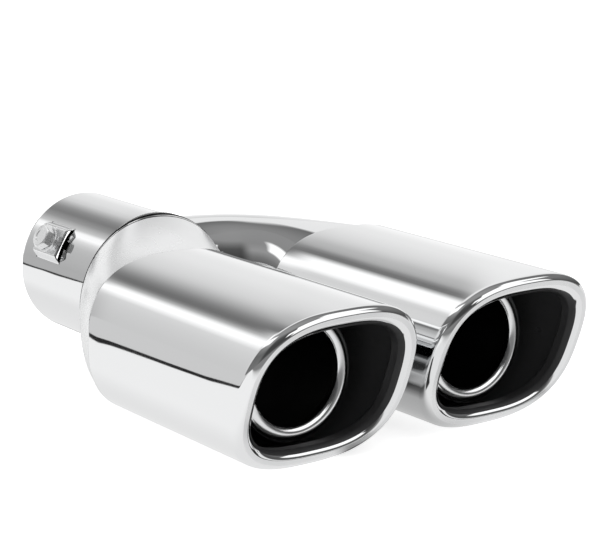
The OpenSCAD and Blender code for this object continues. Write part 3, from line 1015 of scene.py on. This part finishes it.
def floor():
    below, size = 0.0002, 9
    mat, nt, bsdf = material("floor")
    bsdf.inputs["Base Color"].default_value = (0.94, 0.94, 0.94, 1)
    bsdf.inputs["Roughness"].default_value = 0.7
    bsdf.inputs["Specular IOR Level"].default_value = 0.1
    bsdf.inputs["Emission Color"].default_value = (1, 1, 1, 1)
    rays = add(nt, "ShaderNodeLightPath")
    nt.links.new(times(nt, rays.outputs["Is Camera Ray"], CAMERA_GLOW), bsdf.inputs["Emission Strength"])
    place = add(nt, "ShaderNodeSeparateXYZ")
    nt.links.new(add(nt, "ShaderNodeTexCoord").outputs["Object"], place.inputs[0])
    # for glossy rays the floor glows with the painted reflections and painted shade of card_light
    glow = add(nt, "ShaderNodeEmission")
    nt.links.new(card_light(nt, place.outputs[0], place.outputs[1]), glow.inputs["Color"])
    either = add(nt, "ShaderNodeMixShader")
    nt.links.new(rays.outputs["Is Glossy Ray"], either.inputs[0])
    nt.links.new(bsdf.outputs[0], either.inputs[1])
    nt.links.new(glow.outputs[0], either.inputs[2])
    nt.links.new(either.outputs[0], nt.nodes["Material Output"].inputs["Surface"])
    z = cad_lo.z - below
    me = bpy.data.meshes.new("floor")
    corners = [(-size, -size, z), (size, -size, z), (size, size, z), (-size, size, z)]
    me.from_pydata(corners, [], [(0, 1, 2, 3)])
    me.materials.append(mat)
    ob = bpy.data.objects.new("floor", me)
    bpy.context.scene.collection.objects.link(ob)


# Studio. Directions are taken in degrees as the turn round the Y axis from +X over the top, as the height
# above the horizon, and as the heading from -Y, behind the camera, towards -X. Light is linear.
BANDS_FAR = ((0, 1.04), (9, 0.98), (21, 0.87), (33, 0.8), (39, 0.76), (45, 0.7), (51, 0.62), (57, 0.55),
             (63, 0.52), (69, 0.46), (75, 0.3), (81, 0.2), (87, 0.2), (92, 0.6), (97, 1.1), (102, 1.3),
             (116, 1.25), (123, 1.05), (129, 0.78), (135, 0.735), (141, 0.76), (150, 0.77), (180, 0.7))
BANDS_NEAR = ((0, 0.98), (9, 0.99), (21, 0.89), (33, 0.82), (45, 0.76), (51, 0.71), (57, 0.63), (75, 0.33),
              (81, 0.25), (88, 0.19), (94, 0.18), (99, 0.26), (105, 0.5), (111, 1.02), (115, 1.25),
              (123, 1.2), (129, 1.0), (135, 0.785), (141, 0.754), (147, 0.73), (159, 0.7), (171, 0.675),
              (180, 0.67))
BANDS_SLEEVE = ((0, 0.98), (15, 0.94), (27, 0.87), (45, 0.82), (51, 0.76), (57, 0.71), (69, 0.435),
                (75, 0.32), (81, 0.26), (87, 0.23), (93, 0.29), (99, 0.35), (105, 0.5), (111, 0.64),
                (116, 1.1), (123, 1.15), (129, 0.83), (135, 0.68), (141, 0.587), (150, 0.54), (165, 0.51),
                (180, 0.47))
ROOM = ((-90, 0.3), (-14, 0.3), (-4, 0.13), (10, 0.06), (30, 0.06), (48, 0.09), (57, 0.17), (68, 0.3),
        (90, 0.32))
ROOM_LEFT = ((-90, 0.3), (0, 0.2), (24, 0.15), (32, 0.2), (45, 0.34), (60, 0.28), (90, 0.32))
ROOM_RIGHT = ((-90, 0.3), (-12, 0.1), (0, 0.06), (14, 0.14), (30, 0.2), (50, 0.16), (68, 0.26),
              (90, 0.32))
BACKDROP = ((0, 0.97), (36, 0.92), (99, 0.92), (111.6, 0.86), (180, 0.8))
# Softboxes as limits of heading and height, their light, and the dark apron below them
SOFTBOXES = ((-52, 1, 12, 56), (-78, -50, 38, 62), (-2, 16, 26, 41))
SOFTBOX_SOFT = (2.0, 2.0)
SOFTBOX_LIGHT = 1.25
APRON_DARK = 0.1
APRON = (-52, 12, -3, 10)
APRON_SOFT = (4.0, 2.0)
STREAK_LIGHT = 1.3
STREAK_TURN = (113, 132)
RIDGE_DARK = 0.28
TURN_SOFT = 3.6
# Headings where the room's sides take over
LEFT_FROM = (55, 80)
RIGHT_FROM = (-46, -60)
# How far a direction leans along Y: the ring that the long walls reflect, and its change from wall to wall
WALLS_FROM = (0.708, 0.724)
NEAR_FROM = (0.774, 0.784)
SLEEVE_RING_FROM = (0.829, 0.837)
WALLS_TO = (0.86, 0.872)
RIDGE = (0.88, 0.94, 108, 140.4)  # limits of the lean and of the turn
RIDGE_SOFT = (0.01, TURN_SOFT)
STREAK_FROM = (0.08, 0.2)
# The backdrop's top edge, and where it comes nearer to the horizon
BACKDROP_FROM = (0.33, 0.45)
BACKDROP_TURN = (106.2, 100.8)
BACKDROP_SHIFT = 0.15
SHIFT_TURN = (52.2, 64.8)


def in_degrees(nt, value):
    return times(nt, value, 180 / math.pi)


def room_light(nt, heading, height):
    """The room behind the camera, with its softboxes."""
    room = blend(nt, levels(nt, height, ROOM), levels(nt, height, ROOM_LEFT), step(nt, heading, *LEFT_FROM))
    room = blend(nt, room, levels(nt, height, ROOM_RIGHT), step(nt, heading, *RIGHT_FROM))
    room = blend(nt, room, APRON_DARK, patch(nt, heading, height, APRON, APRON_SOFT))
    boxes = [patch(nt, heading, height, box, SOFTBOX_SOFT) for box in SOFTBOXES]
    return blend(nt, room, SOFTBOX_LIGHT, larger(nt, larger(nt, boxes[0], boxes[1]), boxes[2]))


def wall_light(nt, turn, dy):
    """The ring of directions that the long walls reflect: far casing, near casing, then sleeve."""
    light = blend(nt, levels(nt, turn, BANDS_FAR), levels(nt, turn, BANDS_NEAR), step(nt, dy, *NEAR_FROM))
    return blend(nt, light, levels(nt, turn, BANDS_SLEEVE), step(nt, dy, *SLEEVE_RING_FROM))


def studio_light(nt, dx, dy, dz):
    """What the metal sees in a direction."""
    turn = in_degrees(nt, maths(nt, "ARCTAN2", maths(nt, "ABSOLUTE", dz), dx))
    height = in_degrees(nt, maths(nt, "ARCSINE", dz))
    heading = in_degrees(nt, maths(nt, "ARCTAN2", times(nt, dx, -1), times(nt, dy, -1)))
    # the backdrop, seen outside the ring of directions that the long walls reflect
    backdrop = levels(nt, turn, BACKDROP)
    lean = minus(nt, dy, times(nt, step(nt, turn, *SHIFT_TURN), BACKDROP_SHIFT))
    low = times(nt, step(nt, lean, *BACKDROP_FROM), step(nt, turn, *BACKDROP_TURN))
    seen = blend(nt, room_light(nt, heading, height), backdrop, low)
    streak = times(nt, between(nt, turn, *STREAK_TURN, TURN_SOFT), step(nt, dy, *STREAK_FROM))
    seen = larger(nt, seen, times(nt, streak, STREAK_LIGHT))
    seen = blend(nt, seen, wall_light(nt, turn, dy), step(nt, dy, *WALLS_FROM))
    ridge = patch(nt, dy, turn, RIDGE, RIDGE_SOFT)
    return blend(nt, seen, blend(nt, backdrop, RIDGE_DARK, ridge), step(nt, dy, *WALLS_TO))


def studio():
    """White light all round, with the studio seen in the metal alone."""
    world = bpy.data.worlds.new("studio")
    bpy.context.scene.world = world
    world.use_nodes = True
    nt = world.node_tree
    direction = add(nt, "ShaderNodeSeparateXYZ")
    nt.links.new(add(nt, "ShaderNodeTexCoord").outputs["Generated"], direction.inputs[0])
    pick = add(nt, "ShaderNodeMixRGB")
    pick.inputs["Color1"].default_value = (1, 1, 1, 1)
    nt.links.new(add(nt, "ShaderNodeLightPath").outputs["Is Glossy Ray"], pick.inputs["Fac"])
    nt.links.new(studio_light(nt, *direction.outputs), pick.inputs["Color2"])
    nt.links.new(pick.outputs["Color"], nt.nodes["Background"].inputs["Color"])
    nt.nodes["Background"].inputs["Strength"].default_value = 1.0


# Camera: the photo's, in degrees, metres and the photo's pixels
AZIMUTH = math.radians(-36.998)
ELEVATION = math.radians(13.155)
ROLL = math.radians(0.604)
CAMERA_PLACE = (-0.437558, -0.747439, 0.195409)
FOCAL_PIXELS = 1914.03
PHOTO_WIDTH = 600
SENSOR = 36


def camera():
    data = bpy.data.cameras.new("camera")
    data.sensor_width = SENSOR
    data.lens = FOCAL_PIXELS * SENSOR / PHOTO_WIDTH
    data.clip_start, data.clip_end = 0.05, 50
    ob = bpy.data.objects.new("camera", data)
    bpy.context.scene.collection.objects.link(ob)
    bpy.context.scene.camera = ob
    level = math.cos(ELEVATION)
    forward = Vector((-math.sin(AZIMUTH) * level, math.cos(AZIMUTH) * level, -math.sin(ELEVATION)))
    right = Vector((math.cos(AZIMUTH), math.sin(AZIMUTH), 0))
    up = right.cross(forward)
    rolled_right = right * math.cos(ROLL) + up * math.sin(ROLL)
    rolled_up = up * math.cos(ROLL) - right * math.sin(ROLL)
    pose = Matrix((rolled_right, rolled_up, -forward)).transposed().to_4x4()
    pose.translation = Vector(CAMERA_PLACE)
    ob.matrix_world = pose


floor()
studio()
camera()
bpy.context.scene.view_settings.view_transform = "Standard"
